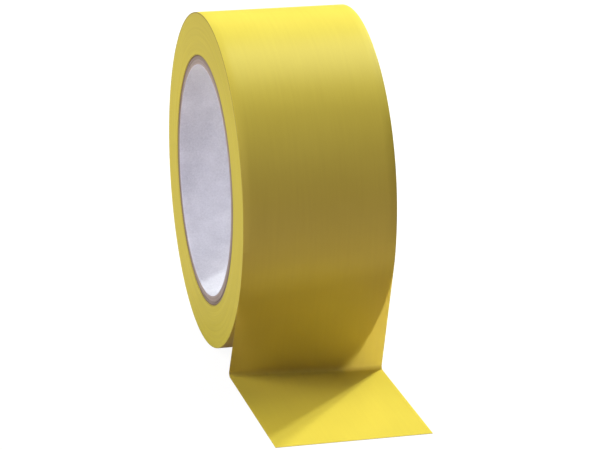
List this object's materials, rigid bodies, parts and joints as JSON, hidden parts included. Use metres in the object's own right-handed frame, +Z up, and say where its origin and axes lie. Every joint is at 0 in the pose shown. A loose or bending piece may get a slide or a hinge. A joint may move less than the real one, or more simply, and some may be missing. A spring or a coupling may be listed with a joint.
{
  "type": "electrical tape roll",
  "caption": "Roll of wide yellow PVC insulating tape on a layered paper core, standing on its rim with the free end pulled down the front and laid flat.",
  "frame": {"origin": "centre of the core's bore, half-way across the roll's width", "axes": "+Z up, Y along the roll's axis, +X towards the free end that lies flat; the roll stands on its rim at the lowest Z"},
  "size_m": [0.1537, 0.05, 0.111],
  "materials": {
    "winding": "satin",
    "tape_backing": "satin",
    "tape_adhesive": "satin",
    "core_board": "matte",
    "core_wrap": "matte",
    "core_liner": "matte"
  },
  "bodies": {
    "roll": {"core_liner": "core_liner", "core_ply_1": "core_board", "core_ply_2": "core_board", "core_ply_3": "core_board", "core_ply_4": "core_board", "core_ply_5": "core_board", "core_wrap": "core_wrap", "tape_winding": "winding"},
    "lifted_tape": {"lifted_backing": "tape_backing", "lifted_adhesive": "tape_adhesive"},
    "web": {"web_backing": "tape_backing", "web_adhesive": "tape_adhesive"},
    "flap": {"flap_backing": "tape_backing", "flap_adhesive": "tape_adhesive"}
  },
  "joints": [
    {"name": "unwind", "type": "hinge", "parent": "roll", "child": "lifted_tape", "pos_m": [0, 0, 0], "axis": [0, 1, 0], "continuous": true},
    {"name": "peel", "type": "hinge", "parent": "lifted_tape", "child": "web", "pos_m": [0.05193, 0, -0.01993], "axis": [0, -1, 0], "range_deg": [0, 75]},
    {"name": "crease_fold", "type": "hinge", "parent": "web", "child": "flap", "pos_m": [0.03832, 0, -0.05539], "axis": [0, -1, 0], "range_deg": [-111, 30]}
  ]
}
